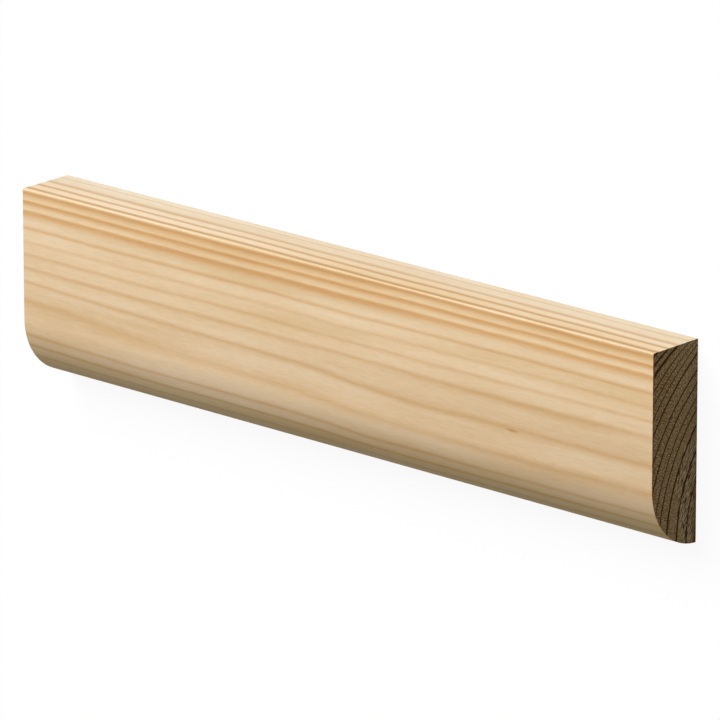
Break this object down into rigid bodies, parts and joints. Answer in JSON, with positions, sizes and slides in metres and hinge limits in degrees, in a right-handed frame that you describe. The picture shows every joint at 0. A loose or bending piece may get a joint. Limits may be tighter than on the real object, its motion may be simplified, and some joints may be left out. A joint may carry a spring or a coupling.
{
  "type": "architrave moulding",
  "caption": "Planed softwood architrave moulding with a flat back, a square outer edge and a rounded bullnose edge, sawn square at both ends.",
  "frame": {"origin": "middle of the flat back, where it rests", "axes": "+X along the grain, +Y across the face from the rounded nose to the square outer edge, +Z from the back to the face"},
  "size_m": [0.183, 0.045, 0.0145],
  "materials": {
    "planed_pine": "planed and unfinished, with darker sawn end grain"
  },
  "bodies": {
    "root": {"architrave": "planed_pine"}
  },
  "joints": []
}
